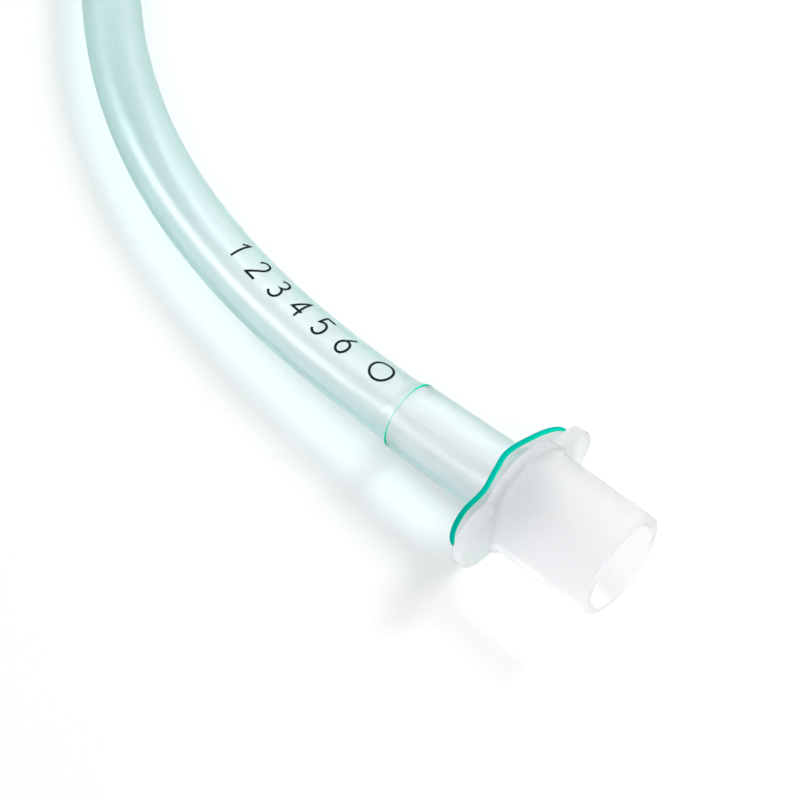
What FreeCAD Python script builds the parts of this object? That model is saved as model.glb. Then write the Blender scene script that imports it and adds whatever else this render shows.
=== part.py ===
import FreeCAD, Part
import math
import os

from FreeCAD import Vector

# A nasopharyngeal airway lying on its side, in millimetres.
# It is drawn in the connector's own frame and then laid down as it comes to rest.
# Connector frame: X runs along the connector towards its open end, the plate's back face is at x = 0,
# and the tube leaves towards -X and bends towards +Y, all in the plane z = 0.
# The flange and the ears are turned about the axis from that plane, in degrees.

# Tube
tube_bore = 7.0
tube_wall = 1.1
near_bend_length = 18.5
near_bend_radius = 220.0
middle_bend_length = 27.5
middle_bend_radius = 137.0
far_bend_length = 84.0
far_bend_radius = 102.0
tip_length = 11.0
bevel_angle = 42.0
tip_edge_bevel = 0.3

# Stem of the connector, and the tube's end stretched over it
stem_length = 18.9
stem_tip_diameter = 8.26
stem_root_diameter = 8.88
stem_bore = 6.2
stem_edge_bevel = 0.3
stem_clearance = 0.03
stretched_wall = 0.92
step_length = 2.0

# Flange, heat flared at the end of the tube
flange_length = 22.8
flange_height = 16.0
flange_thickness = 0.8
flare_radius = 2.8
flange_turn = -8.0
# The flange's front face seen from above, as (y, x): it rests on the plate and lifts off it in waves
flange_wave = ((13.0, -0.15), (9.0, -0.14), (4.4, -0.62), (-0.4, -1.31), (-3.4, -0.72), (-6.3, -0.25),
               (-9.2, -1.0), (-12.5, -1.5))

# Round plate at the barrel's foot, with an ear on each side
plate_thickness = 2.0
plate_radius = 8.3
ear_half_width = 5.3
ear_reach = 13.4
ear_radius = 4.45
plate_edge_bevel = 0.3
ear_turn = -10.5

# Barrel with the 15 mm male taper
barrel_length = 15.8
barrel_mouth_diameter = 15.22
barrel_taper = 1.0 / 40.0
barrel_bore = 12.6
lip_bevel = 0.5
funnel_length = 3.5

# Densities in grams per cubic millimetre, for the balance point that sets how the part lies
tube_density = 0.00125
connector_density = 0.00091

UP = Vector(0, 0, 1)
tube_radius = tube_bore / 2 + tube_wall
straight_length = stem_length + step_length
flange_set_back = flange_thickness - min(x for y, x in flange_wave if abs(y) < flange_height / 2)
overrun = 5.0

# The tube's runs from the flange to the tip, as (length, bend radius), straight where there is no radius
runs = (
    (straight_length, None),
    (near_bend_length, near_bend_radius),
    (middle_bend_length, middle_bend_radius),
    (far_bend_length, far_bend_radius),
    (tip_length, None),
)


def step_along(point, heading, length, radius):
    """Returns where a run ends and its direction there. A bend turns to the right, seen from above."""
    if radius is None:
        return point + heading * length, heading
    centre = point + heading.cross(UP) * radius
    turn = FreeCAD.Rotation(UP, -math.degrees(length / radius))
    return centre + turn.multVec(point - centre), turn.multVec(heading)


def run_solid(point, heading, length, radius, section_radius):
    """A solid round bar along one run."""
    disc = Part.Face(Part.Wire(Part.makeCircle(section_radius, point, heading)))
    if radius is None:
        return disc.extrude(heading * length)
    centre = point + heading.cross(UP) * radius
    return disc.revolve(centre, -UP, math.degrees(length / radius))


def bar_along_runs(section_radius, past_end):
    """A solid round bar along the whole tube, and past its tip by a given length."""
    point = Vector(0, 0, 0)
    heading = Vector(-1, 0, 0)
    bars = []
    for length, radius in runs[:-1]:
        bars.append(run_solid(point, heading, length, radius, section_radius))
        point, heading = step_along(point, heading, length, radius)
    bars.append(run_solid(point, heading, runs[-1][0] + past_end, None, section_radius))
    return bars[0].multiFuse(bars[1:])


def place(point):
    """A profile point (along the axis, out from it) in space."""
    return Vector(point[0], 0, point[1])


def line(start, end):
    return Part.LineSegment(place(start), place(end)).toShape()


def arc(start, middle, end):
    return Part.Arc(place(start), place(middle), place(end)).toShape()


def corner_arc(start, corner, end):
    """A quarter round of equal legs between two points, bulging towards the corner."""
    share = 1 - math.sqrt(0.5)
    middle = tuple(c + ((s - c) + (e - c)) * share for s, c, e in zip(start, corner, end))
    return arc(start, middle, end)


def turned(edges):
    """A solid of revolution about the X axis from the edges of a closed profile."""
    face = Part.Face(Part.Wire(edges))
    return face.revolve(Vector(0, 0, 0), Vector(1, 0, 0), 360)


def stem_radius(x):
    """The stem's outer radius at a place along the axis."""
    share = -x / stem_length
    return (stem_root_diameter + (stem_tip_diameter - stem_root_diameter) * share) / 2


def socket_outside():
    """The stretched end of the tube from outside: a step, a long cone and a trumpet flare."""
    wall = stem_clearance + stretched_wall
    step_start = (-straight_length, tube_radius)
    step_end = (-stem_length, stem_radius(-stem_length) + wall)
    flare_base = -flare_radius - flange_thickness / 2
    flare_start = (flare_base, stem_radius(flare_base) + wall)
    flare_end = (flare_base + flare_radius, flare_start[1] + flare_radius)
    front = (overrun, flare_end[1])
    edges = [line(step_start, step_end), line(step_end, flare_start)]
    edges.append(corner_arc(flare_start, (flare_end[0], flare_start[1]), flare_end))
    edges.append(line(flare_end, front))
    edges.append(line(front, (overrun, 0)))
    edges.append(line((overrun, 0), (-straight_length, 0)))
    edges.append(line((-straight_length, 0), step_start))
    return turned(edges)


def socket_inside():
    """The room for the stem, from in front of the flange to where the tube has its own bore again."""
    step_start = (-straight_length, tube_bore / 2)
    step_end = (-stem_length, stem_radius(-stem_length) + stem_clearance)
    front = (overrun, stem_radius(overrun) + stem_clearance)
    edges = [line(step_start, step_end), line(step_end, front)]
    edges.append(line(front, (overrun, 0)))
    edges.append(line((overrun, 0), (-straight_length, 0)))
    edges.append(line((-straight_length, 0), step_start))
    return turned(edges)


def wave_curve(shift):
    """The flange's wavy line seen from above, shifted along the axis."""
    curve = Part.BSplineCurve()
    curve.interpolate([Vector(x + shift, y, -flange_height) for y, x in flange_wave])
    return curve.toShape()


def slab_between(first, second):
    """A slab as high as the flange needs, between two lines that run the same way across the axis."""
    near = Part.LineSegment(first.firstVertex().Point, second.firstVertex().Point).toShape()
    far = Part.LineSegment(first.lastVertex().Point, second.lastVertex().Point).toShape()
    outline = Part.Wire(Part.__sortEdges__([first, far, second, near]))
    return Part.Face(outline).extrude(UP * 2 * flange_height)


def flange_blank():
    """The socket with its flare, its wavy oval flange, and nothing in front of the flange's face."""
    front = wave_curve(0)
    back = wave_curve(-flange_thickness)
    ends = [Vector(overrun * 2, flange_wave[i][0], -flange_height) for i in (0, -1)]
    ahead = slab_between(front, Part.LineSegment(ends[0], ends[1]).toShape())
    oval = Part.Ellipse(Vector(0, flange_length / 2, 0), Vector(0, 0, flange_height / 2), Vector(0, 0, 0))
    prism = Part.Face(Part.Wire(oval.toShape())).extrude(Vector(4 * overrun, 0, 0))
    prism.translate(Vector(-2 * overrun, 0, 0))
    sheet = slab_between(front, back).common(prism)
    behind = Part.makeCylinder(flange_length, straight_length, Vector(-straight_length - 2 * overrun, 0, 0),
                               Vector(1, 0, 0))
    within = prism.fuse(behind)
    blank = socket_outside().common(within).cut(ahead).fuse(sheet)
    blank.rotate(Vector(0, 0, 0), Vector(1, 0, 0), flange_turn)
    return blank


def bevel_cut(solid):
    """Cuts the soft tip at a slant that faces up, and breaks its edges."""
    point = Vector(0, 0, 0)
    heading = Vector(-1, 0, 0)
    for length, radius in runs[:-1]:
        point, heading = step_along(point, heading, length, radius)
    slant = math.radians(bevel_angle)
    crossing = point + heading * (tip_length - tube_radius * math.tan(slant))
    facing = heading * math.cos(slant) + UP * math.sin(slant)
    cutter = Part.makeCylinder(4 * tube_radius, 4 * tube_radius, crossing, facing)
    cut = solid.cut(cutter)
    rim = []
    for edge in cut.Edges:
        offsets = [abs((v.Point - crossing).dot(facing)) for v in edge.Vertexes]
        middle = edge.valueAt((edge.FirstParameter + edge.LastParameter) / 2)
        if max(offsets) < 1e-4 and abs((middle - crossing).dot(facing)) < 1e-4:
            rim.append(edge)
    return cut.makeChamfer(tip_edge_bevel, rim)


def airway_tube():
    """The soft tube in one piece with its flange."""
    outside = bar_along_runs(tube_radius, 0)
    lumen = bar_along_runs(tube_bore / 2, overrun)
    trimmed = outside.common(behind_of(-straight_length))
    body = flange_blank().fuse(trimmed)
    hollow = body.cut(socket_inside()).cut(lumen)
    return bevel_cut(hollow.removeSplitter()).Solids[0]


def behind_of(x):
    """A block that holds everything of the tube on the far side of a place along the axis."""
    length = 2 * sum(run[0] for run in runs)
    return Part.makeBox(length, 2 * length, 2 * length, Vector(x - length, -length, -length))


def ears():
    """The two rounded ears in one oblong plate, a little wider in the middle."""
    ear_centre = ear_reach - ear_radius
    lean = math.acos((ear_half_width - ear_radius) / ear_centre)
    corners = []
    for radius, offset in ((ear_half_width, 0), (ear_radius, ear_centre)):
        corners.append((offset + radius * math.cos(lean), radius * math.sin(lean)))

    def at(y, z):
        return Vector(0, y, z)

    (near_y, near_z), (far_y, far_z) = corners
    edges = []
    for side in (1, -1):
        edges.append(Part.Arc(at(-near_y, side * near_z), at(0, side * ear_half_width), at(near_y, side * near_z)))
        edges.append(Part.Arc(at(side * far_y, far_z), at(side * ear_reach, 0), at(side * far_y, -far_z)))
        for end in (1, -1):
            edges.append(Part.LineSegment(at(side * near_y, end * near_z), at(side * far_y, end * far_z)))
    outline = Part.Wire(Part.__sortEdges__([edge.toShape() for edge in edges]))
    solid = Part.Face(outline).extrude(Vector(plate_thickness, 0, 0))
    around = [edge for edge in solid.Edges if edge.BoundBox.XLength < plate_edge_bevel]
    bevelled = solid.makeChamfer(plate_edge_bevel, around)
    bevelled.rotate(Vector(0, 0, 0), Vector(1, 0, 0), ear_turn)
    return bevelled


def connector():
    """The connector in one moulding: stem, eared plate and tapered barrel, with a bore that narrows once."""
    mouth_x = plate_thickness + barrel_length
    mouth_r = barrel_mouth_diameter / 2
    base_r = mouth_r + barrel_taper * barrel_length / 2
    bore_r = barrel_bore / 2
    throat_r = stem_bore / 2
    stem_tip_r = stem_tip_diameter / 2
    lip_outer = mouth_r + barrel_taper * lip_bevel / 2
    points = [
        (-stem_length, throat_r),
        (-stem_length, stem_tip_r - stem_edge_bevel),
        (-stem_length + stem_edge_bevel, stem_radius(-stem_length + stem_edge_bevel)),
        (0, stem_root_diameter / 2),
        (0, plate_radius - plate_edge_bevel),
        (plate_edge_bevel, plate_radius),
        (plate_thickness - plate_edge_bevel, plate_radius),
        (plate_thickness, plate_radius - plate_edge_bevel),
        (plate_thickness, base_r),
        (mouth_x - lip_bevel, lip_outer),
        (mouth_x, mouth_r - lip_bevel),
        (mouth_x, bore_r + lip_bevel / 2),
        (mouth_x - lip_bevel / 2, bore_r),
        (plate_thickness, bore_r),
        (plate_thickness - funnel_length, throat_r),
    ]
    edges = [line(start, end) for start, end in zip(points, points[1:] + points[:1])]
    turned_body = turned(edges)
    opening = Part.makeCylinder(base_r, 2 * overrun, Vector(-overrun, 0, 0), Vector(1, 0, 0))
    return turned_body.fuse(ears().cut(opening)).removeSplitter().Solids[0]


def path_points():
    """Points about 1 mm apart on the tube's middle line."""
    point = Vector(0, 0, 0)
    heading = Vector(-1, 0, 0)
    points = [point]
    for length, radius in runs:
        pieces = math.ceil(length)
        for _ in range(pieces):
            point, heading = step_along(point, heading, length / pieces, radius)
            points.append(point)
    return points


def reach_below(up, points):
    """How far the plate, the flange and the tube reach below the origin, where up is the way up."""
    plate_low = plate_radius * math.hypot(up.y, up.z) - min(0, plate_thickness * up.x)
    slant = math.radians(flange_turn)
    along = up.y * math.cos(slant) + up.z * math.sin(slant)
    across = up.z * math.cos(slant) - up.y * math.sin(slant)
    flange_low = math.hypot(flange_length / 2 * along, flange_height / 2 * across) + flange_set_back * up.x
    tube_low = tube_radius - min(up.dot(point) for point in points)
    return max(plate_low, flange_low, tube_low)


def way_up(balance):
    """The direction that points up once the part has settled, found as the lowest balance point."""
    points = path_points()

    def height(lean):
        up = Vector(lean[0], lean[1], 1).normalize()
        return up.dot(balance) + reach_below(up, points)

    lean = (0.0, 0.0)
    step = 0.05
    ways = [(math.cos(i * math.pi / 12), math.sin(i * math.pi / 12)) for i in range(24)]
    while step > 1e-6:
        around = [(lean[0] + step * dx, lean[1] + step * dy) for dx, dy in ways]
        best = min(around, key=height)
        if height(best) < height(lean):
            lean = best
        else:
            step /= 2
    return Vector(lean[0], lean[1], 1).normalize()


def laid_down(parts):
    """Turns every piece together onto its side and sets the box's bottom centre at the origin."""
    masses = [part.Volume * density for part, density in parts]
    balance = Vector(0, 0, 0)
    for (part, _), mass in zip(parts, masses):
        balance += part.CenterOfMass * (mass / sum(masses))
    settle = FreeCAD.Placement(Vector(0, 0, 0), FreeCAD.Rotation(way_up(balance), UP))
    whole = Part.Compound([part for part, _ in parts])
    whole.Placement = settle
    box = whole.optimalBoundingBox(False, False)
    shift = Vector(-box.Center.x, -box.Center.y, -box.ZMin)
    return FreeCAD.Placement(shift, settle.Rotation)


def main():
    os.makedirs("parts", exist_ok=True)
    tube = airway_tube()
    fitting = connector()
    placement = laid_down([(tube, tube_density), (fitting, connector_density)])
    for name, solid in (("airway_tube", tube), ("connector_15mm", fitting)):
        placed = solid.copy()
        placed.Placement = placement.multiply(placed.Placement)
        placed.exportStep("parts/" + name + ".step")
        print(name, "valid", placed.isValid(), "solids", len(placed.Solids), "volume", round(placed.Volume, 1))
    length = sum(run[0] for run in runs[1:])
    ring = math.pi * (tube_radius ** 2 - (tube_bore / 2) ** 2)
    print("tube past the stem: length", round(length, 1), "section", round(ring, 2))
    print("placement", placement)


if __name__ == "__main__":
    main()
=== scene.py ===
import math

import bpy
import numpy as np
from mathutils import Matrix, Vector


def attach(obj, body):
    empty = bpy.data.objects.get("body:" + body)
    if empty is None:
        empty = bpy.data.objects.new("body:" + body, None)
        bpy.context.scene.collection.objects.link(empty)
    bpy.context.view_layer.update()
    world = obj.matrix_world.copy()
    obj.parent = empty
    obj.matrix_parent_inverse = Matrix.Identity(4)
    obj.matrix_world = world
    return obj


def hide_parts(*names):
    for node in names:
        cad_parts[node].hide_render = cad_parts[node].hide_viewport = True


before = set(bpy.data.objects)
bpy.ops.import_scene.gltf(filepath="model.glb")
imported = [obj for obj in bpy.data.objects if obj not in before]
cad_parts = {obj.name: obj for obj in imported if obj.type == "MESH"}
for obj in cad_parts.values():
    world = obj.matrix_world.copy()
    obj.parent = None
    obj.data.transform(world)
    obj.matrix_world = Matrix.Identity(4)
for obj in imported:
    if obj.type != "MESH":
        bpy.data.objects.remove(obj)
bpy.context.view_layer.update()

MM = 0.001

# Sizes in millimetres, in the connector's own frame: X along the connector towards its open end,
# the plate's back face at x = 0, and the tube bending in the plane z = 0.
TUBE_BORE_R = 3.5
TUBE_R = 4.6
STEM_LENGTH = 18.9
STEM_TIP_R = 4.13
STEM_ROOT_R = 4.44
STEM_BORE_R = 3.1
STEM_EDGE = 0.3
STEM_CLEARANCE = 0.03
STRETCHED_WALL = 0.92
STEP_LENGTH = 2.0
RUNS = ((STEM_LENGTH + STEP_LENGTH, None), (18.5, 220.0), (27.5, 137.0), (84.0, 102.0), (11.0, None))
BEVEL_ANGLE = math.radians(42.0)
TIP_ROUND = 0.35

FLANGE_HALF_LENGTH = 11.4
FLANGE_HALF_HEIGHT = 8.0
FLANGE_THICKNESS = 0.8
FLARE_R = 2.8
FLANGE_WAVE = ((13.0, -0.15), (9.0, -0.14), (4.4, -0.62), (-0.4, -1.31), (-3.4, -0.72), (-6.3, -0.25),
               (-9.2, -1.0), (-12.5, -1.5))
FLANGE_TURN = math.radians(-8.0)

PLATE_THICKNESS = 2.0
PLATE_R = 8.3
EAR_HALF_WIDTH = 5.3
EAR_REACH = 13.4
EAR_R = 4.45
EAR_TURN = math.radians(-10.5)
PLATE_EDGE = 0.5

BARREL_LENGTH = 15.8
MOUTH_R = 7.61
TAPER = 1 / 40
BARREL_BORE_R = 6.3
LIP_R = 0.5
ROOT_R = 0.6
FUNNEL_LENGTH = 3.5

# The line that shows where the stem ends inside the tube, a painted edge glow on the tube's skin
RING_THIN = 0.05
RING_WIDE = 0.28
RING_TURN = math.radians(21.0)

# The print: plain numbers and a plain ring along the top of the tube
INK_WIDTH = 0.38
INK_RAISED = 0.02
INK_SUNK = 0.03
FIGURE_HEIGHT = 3.5
FIGURE_WIDTH = 1.9
FIGURE_STEP = 4.6
PRINT_FROM = 55.5
PRINT_BASE = math.radians(95.0)
RING_MARK_AT = 24.7
RING_MARK_R = 1.7

# The vinyl: its surface colour near the connector and at the far end, between which places along the row's
# X it deepens, in metres, the colour and density of its depth, and the lamp light that passes through it
VINYL_NEAR = (0.98, 0.945, 0.957)
VINYL_FAR = (0.88, 0.905, 0.91)
DEEPENS_FROM = 0.01
DEEPENS_TO = -0.03
VINYL_DEPTH = (0.0, 0.68, 0.6)
VINYL_DENSITY = 140
VINYL_LAMP_MIDDLE = (0.95, 0.97, 0.98)
VINYL_LAMP_RIM = (0.18, 0.2, 0.24)

# The other colours
# A painted edge glow: opaque teal that stands in for light run along the vinyl to the flange's rim and to
# the stem's end
PAINTED_EDGE_GLOW_COLOUR = (0.0, 0.64, 0.4)
# A painted shade: darker teal down the middle of the flange's rounded rim
PAINTED_SHADE_CORE_COLOUR = (0.0, 0.42, 0.34)
INK_COLOUR = (0.004, 0.014, 0.014)
MILKY_COLOUR = (0.915, 0.92, 0.925)
# The connector's plastic painted lighter on the stem, to lift the shade it gets inside the tube
STEM_PAINTED_LIGHTER_COLOUR = (0.98, 0.985, 0.99)
FLOOR_COLOUR = (0.85, 0.85, 0.85)

# The floor in metres: half its width, and how far it lies under the part so that no faces coincide
FLOOR_HALF = 1.5
FLOOR_DROP = 0.00005

# The camera's sensor and lens, and in the connector's frame its axes, its place and the point that the
# lamps face, in millimetres
SENSOR_WIDTH = 36
LENS = 98.466
CAMERA_RIGHT = Vector((0.7456392, 0.6588905, -0.0994259))
CAMERA_UP = Vector((-0.5268422, 0.6742905, 0.5174646))
CAMERA_BACK = Vector((0.4079945, -0.3334602, 0.8499087))
CAMERA_PLACE = Vector((100.3947, -98.6775, 254.4118))
TARGET = Vector((-21.7345, 1.1403, 0.0))

# The light from all round, and the colour of the lamps that light no dull surface
WORLD_STRENGTH = 0.9
GLINT_COLOUR = (1.0, 0.84, 0.9)

# How finely the meshes are divided: points round a ring, and millimetres between rings in the bends
AROUND = 288
BEND_STEP = 1.6

# How the part lies: the way up and the origin of its own frame, in the row frame
WAY_UP = Vector((0.05634323, 0.08633365, 0.99467178))
ORIGIN = Vector((59.0271, -27.694, 8.28681)) * MM

settle = WAY_UP.rotation_difference(Vector((0, 0, 1))).to_matrix().to_4x4()
TO_ROW = Matrix.Translation(ORIGIN) @ settle @ Matrix.Scale(MM, 4)


def step_along(point, heading, length, radius):
    """Where a run of the tube ends and its direction there. A bend turns to the right, seen from above."""
    if radius is None:
        return point + heading * length, heading
    up = Vector((0, 0, 1))
    centre = point + heading.cross(up) * radius
    turn = Matrix.Rotation(-length / radius, 3, up)
    return centre + turn @ (point - centre), turn @ heading


def along_tube(distance):
    """A point on the tube's middle line and the direction there, by its distance from the plate."""
    point, heading = Vector((0, 0, 0)), Vector((-1, 0, 0))
    for length, radius in RUNS[:-1]:
        if distance <= length:
            return step_along(point, heading, distance, radius)
        point, heading = step_along(point, heading, length, radius)
        distance -= length
    return step_along(point, heading, distance, None)


TUBE_LENGTH = sum(length for length, _ in RUNS)


def on_tube(distance, angle, radius):
    """A point round the tube: angle 0 is the inside of the bend, +Y at the connector."""
    point, heading = along_tube(distance)
    side = heading.cross(Vector((0, 0, 1)))
    return point + side * (radius * math.cos(angle)) + Vector((0, 0, radius * math.sin(angle)))


def grid_object(name, rows, materials, row_material):
    """A smooth closed mesh from rows of points, each row a ring, the last ring joined to the first."""
    count = len(rows[0])
    points = [TO_ROW @ Vector(p) for row in rows for p in row]
    faces = []
    slots = []
    for i in range(len(rows)):
        j = (i + 1) % len(rows)
        for k in range(count):
            m = (k + 1) % count
            faces.append((i * count + k, i * count + m, j * count + m, j * count + k))
            slots.append(row_material(i))
    mesh = bpy.data.meshes.new(name)
    mesh.from_pydata(points, [], faces)
    if sum(f.center.dot(f.normal) * f.area for f in mesh.polygons) < 0:
        mesh.flip_normals()
    for material in materials:
        mesh.materials.append(material)
    mesh.polygons.foreach_set("material_index", slots)
    mesh.polygons.foreach_set("use_smooth", [True] * len(faces))
    mesh.update()
    piece = bpy.data.objects.new(name, mesh)
    bpy.context.scene.collection.objects.link(piece)
    return piece


def smooth_through(knots, value):
    """A smooth curve through knots (place, height), by cubic pieces with matched slopes."""
    places = [k[0] for k in knots]
    heights = [k[1] for k in knots]
    slopes = []
    for i in range(len(knots)):
        a, b = max(i - 1, 0), min(i + 1, len(knots) - 1)
        slopes.append((heights[b] - heights[a]) / (places[b] - places[a]))
    i = min(max(sum(value >= p for p in places) - 1, 0), len(knots) - 2)
    span = places[i + 1] - places[i]
    t = min(max((value - places[i]) / span, 0.0), 1.0)
    h0, h1 = heights[i], heights[i + 1]
    m0, m1 = slopes[i] * span, slopes[i + 1] * span
    return (
        h0 * (1 + 2 * t) * (1 - t) ** 2 + m0 * t * (1 - t) ** 2
        + h1 * t * t * (3 - 2 * t) + m1 * t * t * (t - 1)
    )


WAVE = tuple(sorted(FLANGE_WAVE))


def stem_r(x):
    return STEM_ROOT_R + (STEM_TIP_R - STEM_ROOT_R) * (-x / STEM_LENGTH)


def s_blend(start, end, share):
    """Between two heights along a smooth S, a raised cosine."""
    return start + (end - start) * (0.5 - 0.5 * math.cos(math.pi * share))


def outer_r(distance):
    """The tube's outside radius by distance from the plate."""
    if distance <= STEM_LENGTH:
        return stem_r(-distance) + STEM_CLEARANCE + STRETCHED_WALL
    share = min((distance - STEM_LENGTH) / STEP_LENGTH, 1.0)
    return s_blend(outer_r(STEM_LENGTH), TUBE_R, share)


def inner_r(distance):
    """The tube's inside radius by distance from the plate."""
    if distance <= STEM_LENGTH:
        return stem_r(-distance) + STEM_CLEARANCE
    share = min((distance - STEM_LENGTH) / STEP_LENGTH, 1.0)
    return s_blend(inner_r(STEM_LENGTH), TUBE_BORE_R, share)


def spread(start, end, step):
    """Evenly spaced values from start to end, both included, about a step apart."""
    return list(np.linspace(start, end, max(2, math.ceil(abs(end - start) / step) + 1)))


def tube_rows():
    """The tube's rings in order: outside from the flange to the tip, then inside back to the flange."""
    angles = [2 * math.pi * k / AROUND for k in range(AROUND)]
    rows, kinds = [], []

    def straight_point(x, radius, angle):
        return (x, radius * math.cos(angle), radius * math.sin(angle))

    flare_x = -FLARE_R - FLANGE_THICKNESS / 2
    flare_r = outer_r(-flare_x)

    def rim_r(angle):
        turned = angle - FLANGE_TURN
        return 1 / math.hypot(math.cos(turned) / FLANGE_HALF_LENGTH, math.sin(turned) / FLANGE_HALF_HEIGHT)

    def front_x(radius, angle):
        return smooth_through(WAVE, radius * math.cos(angle - FLANGE_TURN))

    def back_x(radius, angle):
        rise = min(radius - flare_r, FLARE_R)
        trumpet = flare_x + math.sqrt(max(FLARE_R ** 2 - (FLARE_R - rise) ** 2, 0.0))
        sheet = front_x(radius, angle) - FLANGE_THICKNESS
        soft = 0.35
        h = max(soft - abs(trumpet - sheet), 0.0) / soft
        return min(trumpet, sheet) - h * h * soft / 4

    def ring_half(angle):
        """Half the width of the painted edge glow at the stem's end: thin on top and below, wider at both
        sides.
        """
        return RING_THIN + (RING_WIDE - RING_THIN) * abs(math.cos(angle - RING_TURN)) ** 3

    edge = FLANGE_THICKNESS / 2
    for share in np.linspace(1, 0, 12):
        row = []
        for a in angles:
            radius = flare_r + (rim_r(a) - edge - flare_r) * share ** 2
            row.append(straight_point(back_x(radius, a), radius, a))
        rows.append(row)
        kinds.append("body")
    for distance in spread(-flare_x, STEM_LENGTH - 0.2, 1.2)[1:]:
        rows.append([straight_point(-distance, outer_r(distance), a) for a in angles])
        kinds.append("body")
    # The band between these two rings is the painted edge glow at the stem's end
    for side in (-1, 1):
        row = []
        for a in angles:
            reach = STEM_LENGTH + side * ring_half(a)
            row.append(straight_point(-reach, outer_r(reach), a))
        rows.append(row)
        kinds.append("rim" if side < 0 else "body")
    bent_from = STEM_LENGTH + STEP_LENGTH
    for distance in spread(STEM_LENGTH + 0.3, bent_from, 0.2):
        rows.append([straight_point(-distance, outer_r(distance), a) for a in angles])
        kinds.append("body")
    tip_from = TUBE_LENGTH - RUNS[-1][0]

    def ring_at(distance, radius):
        point, heading = along_tube(distance)
        side = heading.cross(Vector((0, 0, 1)))
        return [point + side * (radius * math.cos(a)) + Vector((0, 0, radius * math.sin(a))) for a in angles]

    def slanted(share, radius, back):
        """A ring in the tip's straight run, sliding from square to the bevel's slant."""
        point, heading = along_tube(tip_from)
        side = heading.cross(Vector((0, 0, 1)))
        ring = []
        for a in angles:
            height = radius * math.sin(a)
            end = RUNS[-1][0] - (TUBE_R + height) * math.tan(BEVEL_ANGLE)
            reach = end * share - back
            ring.append(point + heading * reach + side * (radius * math.cos(a)) + Vector((0, 0, height)))
        return ring

    for distance in spread(bent_from, tip_from, BEND_STEP)[1:]:
        rows.append(ring_at(distance, TUBE_R))
        kinds.append("body")
    for share in (0.25, 0.5, 0.75):
        rows.append(slanted(share, TUBE_R, 0))
        kinds.append("body")
    for turn in np.linspace(0, math.pi / 2, 5):
        radius = TUBE_R - TIP_ROUND * (1 - math.cos(turn))
        rows.append(slanted(1, radius, TIP_ROUND * (1 - math.sin(turn))))
        kinds.append("body")
    for turn in np.linspace(math.pi / 2, 0, 5):
        radius = TUBE_BORE_R + TIP_ROUND * (1 - math.cos(turn))
        rows.append(slanted(1, radius, TIP_ROUND * (1 - math.sin(turn))))
        kinds.append("body")
    for share in (0.75, 0.5, 0.25):
        rows.append(slanted(share, TUBE_BORE_R, 0))
        kinds.append("body")
    for distance in spread(tip_from, bent_from, BEND_STEP):
        rows.append(ring_at(distance, TUBE_BORE_R))
        kinds.append("body")
    for distance in spread(bent_from, STEM_LENGTH, 0.3)[1:]:
        rows.append([straight_point(-distance, inner_r(distance), a) for a in angles])
        kinds.append("body")
    for distance in spread(STEM_LENGTH, 2.5, 1.5)[1:]:
        rows.append([straight_point(-distance, inner_r(distance), a) for a in angles])
        kinds.append("body")
    hole_r = inner_r(1)
    # The flange's front face; its outermost ring takes the painted edge glow
    for share in np.linspace(0, 1, 10):
        row = []
        for a in angles:
            radius = hole_r + (rim_r(a) - edge - hole_r) * share
            row.append(straight_point(front_x(radius, a), radius, a))
        rows.append(row)
        kinds.append("body" if share < 1 else "rim")
    # The flange's rounded rim: painted edge glow on its sides, painted shade in its middle
    for turn in np.linspace(math.pi / 2, -math.pi / 2, 9)[1:-1]:
        row = []
        for a in angles:
            radius = rim_r(a) - edge
            middle = (front_x(radius, a) + back_x(radius, a)) / 2
            half = (front_x(radius, a) - back_x(radius, a)) / 2
            row.append(straight_point(middle + half * math.sin(turn), radius + edge * math.cos(turn), a))
        rows.append(row)
        kinds.append("core" if -0.5 < turn < 0.9 else "rim")
    return rows, kinds


def plate_outline(angle):
    """The plate's reach at an angle: the round plate, or the ears where they stand out from it."""
    turned = angle - EAR_TURN
    along, across = abs(math.cos(turned)), abs(math.sin(turned))
    best = PLATE_R
    for share in np.linspace(0, 1, 81):
        centre = (EAR_REACH - EAR_R) * share
        radius = EAR_HALF_WIDTH + (EAR_R - EAR_HALF_WIDTH) * share
        inside = radius ** 2 - (centre * across) ** 2
        if inside > 0:
            best = max(best, centre * along + math.sqrt(inside))
    return best


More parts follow.
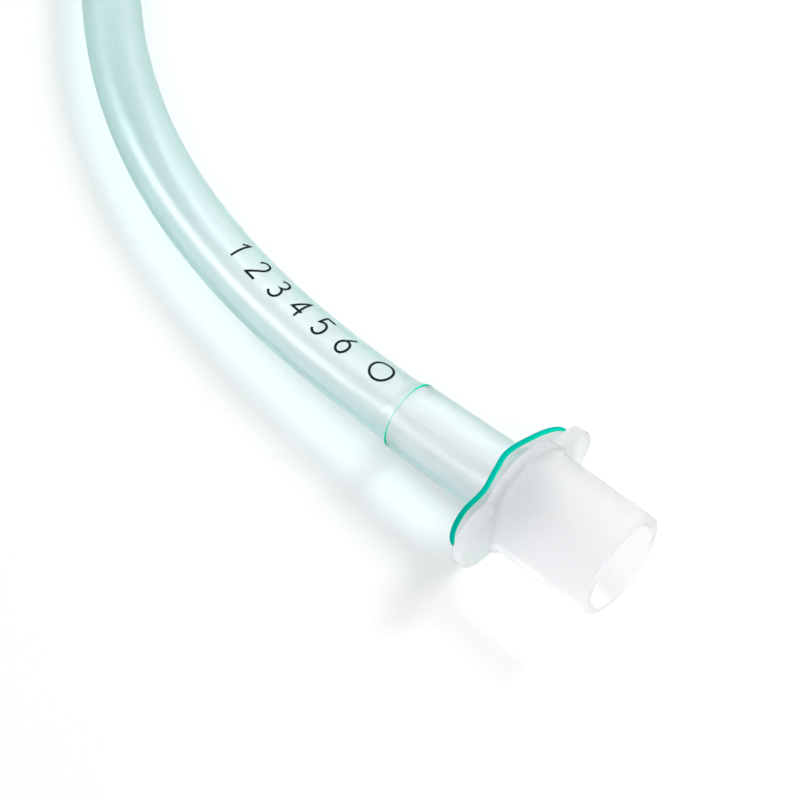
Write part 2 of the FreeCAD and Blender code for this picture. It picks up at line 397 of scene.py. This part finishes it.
def connector_rows():
    """The connector's rings in order: stem outside, plate, barrel, lip, bore and stem bore.

    Returns the rings, and the numbers of those that belong to the stem.
    """
    angles = [2 * math.pi * k / AROUND for k in range(AROUND)]
    outline = [plate_outline(a) for a in angles]
    mouth = PLATE_THICKNESS + BARREL_LENGTH
    base_r = MOUTH_R + TAPER * BARREL_LENGTH / 2
    rows = []
    stem_rows = []

    def ring(x, radius):
        rows.append([(x, radius * math.cos(a), radius * math.sin(a)) for a in angles])

    def plate_ring(x, inset, share=1.0, root=0.0):
        reaches = [root + (o - inset - root) * share for o in outline]
        rows.append([(x, r * math.cos(a), r * math.sin(a)) for a, r in zip(angles, reaches)])

    for turn in np.linspace(0, math.pi / 2, 4):
        ring(-STEM_LENGTH + STEM_EDGE * (1 - math.sin(turn)), STEM_TIP_R - STEM_EDGE * (1 - math.cos(turn)))
    rows.reverse()
    for x in spread(-STEM_LENGTH + STEM_EDGE, 0, 1.5)[1:]:
        ring(x, stem_r(x))
    stem_rows.extend(range(len(rows) - 1))
    for share in (0.1, 0.4, 0.7, 0.97):
        plate_ring(0, PLATE_EDGE, share, STEM_ROOT_R)
    for turn in np.linspace(0, math.pi / 2, 5):
        plate_ring(PLATE_EDGE * (1 - math.cos(turn)), PLATE_EDGE * (1 - math.sin(turn)))
    for turn in np.linspace(math.pi / 2, 0, 5):
        plate_ring(PLATE_THICKNESS - PLATE_EDGE * (1 - math.cos(turn)), PLATE_EDGE * (1 - math.sin(turn)))
    for share in (0.97, 0.5):
        plate_ring(PLATE_THICKNESS, PLATE_EDGE, share, base_r + ROOT_R)
    for turn in np.linspace(0, math.pi / 2, 6):
        ring(PLATE_THICKNESS + ROOT_R * (1 - math.cos(turn)), base_r + ROOT_R * (1 - math.sin(turn)))
    for x in spread(PLATE_THICKNESS + ROOT_R + 0.4, mouth - LIP_R, 1.2):
        ring(x, MOUTH_R + TAPER * (mouth - x) / 2)
    for turn in np.linspace(0, math.pi / 2, 6)[1:]:
        ring(mouth - LIP_R * (1 - math.sin(turn)), MOUTH_R - LIP_R * (1 - math.cos(turn)))
    for turn in np.linspace(math.pi / 2, 0, 4):
        ring(mouth - LIP_R / 2 * (1 - math.sin(turn)), BARREL_BORE_R + LIP_R / 2 * (1 - math.cos(turn)))
    for x in spread(mouth - LIP_R / 2, PLATE_THICKNESS, 1.2)[1:]:
        ring(x, BARREL_BORE_R)
    for share in np.linspace(0, 1, 12)[1:]:
        ring(PLATE_THICKNESS - FUNNEL_LENGTH * share, s_blend(BARREL_BORE_R, STEM_BORE_R, share))
    stem_rows.append(len(rows) - 1)
    for x in spread(PLATE_THICKNESS - FUNNEL_LENGTH, -STEM_LENGTH + 0.1, 1.5)[1:]:
        ring(x, STEM_BORE_R)
        stem_rows.append(len(rows) - 1)
    ring(-STEM_LENGTH, STEM_BORE_R + 0.1)
    stem_rows.append(len(rows) - 1)
    return rows, stem_rows


def arc(centre, radii, start, end, count=18):
    """Points along part of an ellipse, the angles in degrees."""
    turns = [math.radians(t) for t in np.linspace(start, end, count)]
    return [(centre[0] + radii[0] * math.cos(t), centre[1] + radii[1] * math.sin(t)) for t in turns]


# Each figure is drawn by pen strokes in a box one unit wide and one high
FIGURES = {
    "1": [[(0.15, 0.75), (0.55, 1.0), (0.55, 0.0)]],
    "2": [arc((0.5, 0.7), (0.48, 0.3), 170, -35) + [(0.0, 0.0), (1.0, 0.0)]],
    "3": [arc((0.48, 0.76), (0.45, 0.24), 150, -90) + arc((0.48, 0.27), (0.5, 0.27), 90, -150)[1:]],
    "4": [[(0.75, 0.0), (0.75, 1.0), (0.0, 0.3), (1.0, 0.3)]],
    "5": [[(0.95, 1.0), (0.15, 1.0), (0.08, 0.55)] + arc((0.47, 0.32), (0.5, 0.32), 130, -145)],
    "6": [[(0.8, 1.0)] + arc((0.5, 0.32), (0.48, 0.32), 160, 520, 30)],
}


def ink_strip(points, closed):
    """A thin closed ribbon on the tube, along points (along, up) of its unrolled surface in millimetres."""
    line = [np.array(p, float) for p in points]
    count = len(line)
    sides = []
    for i in range(count):
        before = line[i - 1] if closed or i else None
        after = line[(i + 1) % count] if closed or i < count - 1 else None
        steps = []
        if before is not None:
            steps.append(line[i] - before)
        if after is not None:
            steps.append(after - line[i])
        ways = [w / np.linalg.norm(w) for w in steps]
        way = sum(ways) / np.linalg.norm(sum(ways))
        across = np.array((-way[1], way[0]))
        stretch = 1 / max(abs(float(np.dot(way, ways[0]))), 0.5)
        sides.append(across * (INK_WIDTH / 2 * stretch))
    corners = []
    for point, side in zip(line, sides):
        for spot, radius in ((point - side, TUBE_R - INK_SUNK), (point + side, TUBE_R - INK_SUNK),
                             (point + side, TUBE_R + INK_RAISED), (point - side, TUBE_R + INK_RAISED)):
            corners.append(on_tube(PRINT_FROM - spot[0], PRINT_BASE - spot[1] / TUBE_R, radius))
    faces = []
    for i in range(count if closed else count - 1):
        j = (i + 1) % count
        for k in range(4):
            m = (k + 1) % 4
            faces.append((4 * i + k, 4 * i + m, 4 * j + m, 4 * j + k))
    if not closed:
        faces.append((3, 2, 1, 0))
        faces.append(tuple(4 * (count - 1) + k for k in range(4)))
    return corners, faces


def fine(points, step):
    """The same line with points no further apart than a step, so that it follows the tube's curve."""
    out = [points[0]]
    for a, b in zip(points, points[1:]):
        count = max(1, math.ceil(math.dist(a, b) / step))
        for k in range(1, count + 1):
            out.append((a[0] + (b[0] - a[0]) * k / count, a[1] + (b[1] - a[1]) * k / count))
    return out


def make_print(material):
    """The figures 1 to 6 along the tube and a plain ring towards the connector."""
    strips = []
    for i, figure in enumerate("123456"):
        for stroke in FIGURES[figure]:
            placed = [(i * FIGURE_STEP + x * FIGURE_WIDTH, y * FIGURE_HEIGHT) for x, y in stroke]
            strips.append(ink_strip(fine(placed, 0.3), False))
    middle = (PRINT_FROM - RING_MARK_AT, FIGURE_HEIGHT / 2)
    strips.append(ink_strip(arc(middle, (RING_MARK_R, RING_MARK_R), 0, 352.5, 48), True))
    points, faces = [], []
    for corners, sides in strips:
        faces.extend(tuple(len(points) + k for k in face) for face in sides)
        points.extend(TO_ROW @ corner for corner in corners)
    mesh = bpy.data.meshes.new("plain_print")
    mesh.from_pydata(points, [], faces)
    mesh.materials.append(material)
    mesh.update()
    piece = bpy.data.objects.new("plain_print", mesh)
    bpy.context.scene.collection.objects.link(piece)
    return piece


def new_material(name):
    material = bpy.data.materials.new(name)
    material.use_nodes = True
    nodes = material.node_tree.nodes
    nodes.clear()
    return material, nodes, material.node_tree.links


def noise_bump(nodes, links, scale, strength, distance):
    """A fine unevenness of the surface."""
    where = nodes.new("ShaderNodeTexCoord")
    noise = nodes.new("ShaderNodeTexNoise")
    noise.inputs["Scale"].default_value = scale
    noise.inputs["Detail"].default_value = 3
    bump = nodes.new("ShaderNodeBump")
    bump.inputs["Strength"].default_value = strength
    bump.inputs["Distance"].default_value = distance
    links.new(where.outputs["Object"], noise.inputs["Vector"])
    links.new(noise.outputs["Fac"], bump.inputs["Height"])
    return bump, noise


def vary(nodes, links, noise, shader, low, high):
    """Lets the roughness wander between two values."""
    spread_out = nodes.new("ShaderNodeMapRange")
    spread_out.inputs["From Min"].default_value = 0.3
    spread_out.inputs["From Max"].default_value = 0.7
    spread_out.inputs["To Min"].default_value = low
    spread_out.inputs["To Max"].default_value = high
    links.new(noise.outputs["Fac"], spread_out.inputs["Value"])
    links.new(spread_out.outputs["Result"], shader.inputs["Roughness"])


def let_light_through(material, shader, middle, rim):
    """Lets the lamps' light through a clear piece: much where it is met squarely, little at its rim."""
    nodes, links = material.node_tree.nodes, material.node_tree.links
    path = nodes.new("ShaderNodeLightPath")
    weight = nodes.new("ShaderNodeLayerWeight")
    weight.inputs["Blend"].default_value = 0.5
    blend = nodes.new("ShaderNodeMix")
    blend.data_type = "RGBA"
    blend.inputs["A"].default_value = (*middle, 1)
    blend.inputs["B"].default_value = (*rim, 1)
    links.new(weight.outputs["Facing"], blend.inputs["Factor"])
    clear = nodes.new("ShaderNodeBsdfTransparent")
    links.new(blend.outputs["Result"], clear.inputs["Color"])
    mix = nodes.new("ShaderNodeMixShader")
    links.new(path.outputs["Is Shadow Ray"], mix.inputs["Fac"])
    links.new(shader.outputs["BSDF"], mix.inputs[1])
    links.new(clear.outputs["BSDF"], mix.inputs[2])
    out = nodes.new("ShaderNodeOutputMaterial")
    links.new(mix.outputs["Shader"], out.inputs["Surface"])
    return out


def deepen(nodes, links, shader, near, far):
    """Lets the colour go from near the connector's to the far end's, across the middle of the tube."""
    where = nodes.new("ShaderNodeTexCoord")
    split = nodes.new("ShaderNodeSeparateXYZ")
    share = nodes.new("ShaderNodeMapRange")
    share.inputs["From Min"].default_value = DEEPENS_FROM
    share.inputs["From Max"].default_value = DEEPENS_TO
    blend = nodes.new("ShaderNodeMix")
    blend.data_type = "RGBA"
    blend.inputs["A"].default_value = (*near, 1)
    blend.inputs["B"].default_value = (*far, 1)
    links.new(where.outputs["Object"], split.inputs["Vector"])
    links.new(split.outputs["X"], share.inputs["Value"])
    links.new(share.outputs["Result"], blend.inputs["Factor"])
    links.new(blend.outputs["Result"], shader.inputs["Base Color"])


def tinted_vinyl():
    """Soft clear vinyl, tinted in its depth, a little milky, with a glossy skin."""
    material, nodes, links = new_material("mint_vinyl")
    shader = nodes.new("ShaderNodeBsdfPrincipled")
    deepen(nodes, links, shader, VINYL_NEAR, VINYL_FAR)
    shader.inputs["IOR"].default_value = 1.1
    shader.inputs["Transmission Weight"].default_value = 0.85
    shader.inputs["Coat Weight"].default_value = 1.0
    shader.inputs["Coat Roughness"].default_value = 0.3
    shader.inputs["Coat IOR"].default_value = 1.5
    bump, noise = noise_bump(nodes, links, scale=60, strength=0.03, distance=0.0002)
    links.new(bump.outputs["Normal"], shader.inputs["Coat Normal"])
    # Rough enough that no fine lines show along the tube's sides
    vary(nodes, links, noise, shader, 0.3, 0.36)
    out = let_light_through(material, shader, VINYL_LAMP_MIDDLE, VINYL_LAMP_RIM)
    volume = nodes.new("ShaderNodeVolumeAbsorption")
    volume.inputs["Color"].default_value = (*VINYL_DEPTH, 1)
    volume.inputs["Density"].default_value = VINYL_DENSITY
    links.new(volume.outputs["Volume"], out.inputs["Volume"])
    return material


def painted_edge_glow_plastic(name, colour):
    """The same plastic where light has run a long way inside it, as at a cut edge, painted as an opaque
    colour: a painted edge glow, or a painted shade.
    """
    material, nodes, links = new_material(name)
    shader = nodes.new("ShaderNodeBsdfPrincipled")
    shader.inputs["Roughness"].default_value = 0.4
    shader.inputs["Specular IOR Level"].default_value = 0.0
    shader.inputs["Base Color"].default_value = (*colour, 1)
    out = nodes.new("ShaderNodeOutputMaterial")
    links.new(shader.outputs["BSDF"], out.inputs["Surface"])
    return material


def ink():
    """Black ink with a slight gloss."""
    material, nodes, links = new_material("black_ink")
    shader = nodes.new("ShaderNodeBsdfPrincipled")
    shader.inputs["Roughness"].default_value = 0.6
    shader.inputs["Specular IOR Level"].default_value = 0.1
    shader.inputs["Base Color"].default_value = (*INK_COLOUR, 1)
    out = nodes.new("ShaderNodeOutputMaterial")
    links.new(shader.outputs["BSDF"], out.inputs["Surface"])
    return material


def frosted_plastic(name, colour, through, lamp_light):
    """Milky plastic with a satin surface.

    through is the share of light that passes in it, blurred, and lamp_light what a lamp sends through it:
    how much where it is met squarely, and how much at its rim.
    """
    material, nodes, links = new_material(name)
    shader = nodes.new("ShaderNodeBsdfPrincipled")
    shader.inputs["Base Color"].default_value = (*colour, 1)
    shader.inputs["IOR"].default_value = 1.3
    shader.inputs["Transmission Weight"].default_value = through
    bump, noise = noise_bump(nodes, links, scale=900, strength=0.15, distance=0.0001)
    links.new(bump.outputs["Normal"], shader.inputs["Normal"])
    vary(nodes, links, noise, shader, 0.5, 0.65)
    let_light_through(material, shader, *[(share, share, share) for share in lamp_light])
    return material


def make_floor():
    mesh = bpy.data.meshes.new("floor")
    half = FLOOR_HALF
    corners = [(-half, -half, 0), (half, -half, 0), (half, half, 0), (-half, half, 0)]
    mesh.from_pydata(corners, [], [(0, 1, 2, 3)])
    floor = bpy.data.objects.new("floor", mesh)
    bpy.context.scene.collection.objects.link(floor)
    floor.location.z = -FLOOR_DROP
    material, nodes, links = new_material("floor_white")
    diffuse = nodes.new("ShaderNodeBsdfDiffuse")
    diffuse.inputs["Color"].default_value = (*FLOOR_COLOUR, 1)
    out = nodes.new("ShaderNodeOutputMaterial")
    links.new(diffuse.outputs["BSDF"], out.inputs["Surface"])
    mesh.materials.append(material)


def make_camera():
    """The camera of the photograph. Returns its right-hand direction and the point that the lamps face."""
    data = bpy.data.cameras.new("camera")
    camera = bpy.data.objects.new("camera", data)
    bpy.context.scene.collection.objects.link(camera)
    data.sensor_width = SENSOR_WIDTH
    data.lens = LENS
    turn = TO_ROW.to_3x3().normalized()
    right = turn @ CAMERA_RIGHT
    up = turn @ CAMERA_UP
    back = turn @ CAMERA_BACK
    place = TO_ROW @ CAMERA_PLACE
    camera.matrix_world = Matrix.Translation(place) @ Matrix((right, up, back)).transposed().to_4x4()
    bpy.context.scene.camera = camera
    return right, TO_ROW @ TARGET


def make_lights(right, target):
    """The light from all round, the key lamp, and three lamps that light no dull surface."""
    world = bpy.data.worlds.new("studio")
    world.use_nodes = True
    shade = world.node_tree.nodes["Background"]
    shade.inputs["Color"].default_value = (1, 1, 1, 1)
    shade.inputs["Strength"].default_value = WORLD_STRENGTH
    bpy.context.scene.world = world
    right = Vector((right.x, right.y, 0)).normalized()
    ahead = Vector((-right.y, right.x, 0))

    def panel(name, direction, long_way, distance, width, height, power, on_surfaces=True):
        """A square or long lamp that faces the target, its width along long_way."""
        data = bpy.data.lights.new(name, "AREA")
        data.shape = "RECTANGLE"
        data.size = width
        data.size_y = height
        data.energy = power
        lamp = bpy.data.objects.new(name, data)
        bpy.context.scene.collection.objects.link(lamp)
        away = direction.normalized()
        across = (long_way - away * long_way.dot(away)).normalized()
        turn = Matrix((across, away.cross(across), away)).transposed().to_4x4()
        lamp.matrix_world = Matrix.Translation(target + away * distance) @ turn
        lamp.visible_diffuse = on_surfaces
        if not on_surfaces:
            data.color = GLINT_COLOUR

    up = Vector((0, 0, 1))
    panel("key", right * 0.806 + ahead * 0.511 + up, ahead, 0.9, 0.22, 0.22, 3.6)
    panel("low_strip", right * -0.93 + ahead * 0.04 + up * 0.33, ahead, 0.6, 0.44, 0.2, 2.0, False)
    panel("high_strip", right * -0.3 + ahead * 0.5 + up * 0.8, right * 0.76 + ahead * 0.58 - up * 0.21,
          0.6, 0.6, 0.08, 0.3, False)
    panel("far_panel", right * 0.35 + ahead * 0.8 + up * 0.45, right, 0.6, 0.5, 0.25, 0.45, False)


def main():
    bpy.context.scene.view_settings.view_transform = "Standard"
    tint = tinted_vinyl()
    # Painted edge glow and painted shade for the flange's rim and the line at the stem's end
    edge = painted_edge_glow_plastic("mint_vinyl_painted_edge_glow", PAINTED_EDGE_GLOW_COLOUR)
    core = painted_edge_glow_plastic("mint_vinyl_painted_shade", PAINTED_SHADE_CORE_COLOUR)
    milky = frosted_plastic("milky_plastic", MILKY_COLOUR, through=0.92, lamp_light=(0.9, 0.15))
    # The stem's plastic is painted lighter than the connector's, to lift the shade inside the tube
    thin_milky_painted_lighter = frosted_plastic("milky_plastic_stem_painted_lighter", STEM_PAINTED_LIGHTER_COLOUR, through=0.75, lamp_light=(0.93, 0.6))
    rows, kinds = tube_rows()
    order = ("body", "rim", "core")
    tube = grid_object("soft_tube", rows, [tint, edge, core], lambda i: order.index(kinds[i]))
    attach(tube, "root")
    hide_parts("airway_tube")
    marks = make_print(ink())
    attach(marks, "root")
    rows, stem_rows = connector_rows()
    fitting = grid_object("milky_connector", rows, [milky, thin_milky_painted_lighter], lambda i: int(i in stem_rows))
    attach(fitting, "root")
    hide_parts("connector_15mm")
    make_floor()
    make_lights(*make_camera())


main()
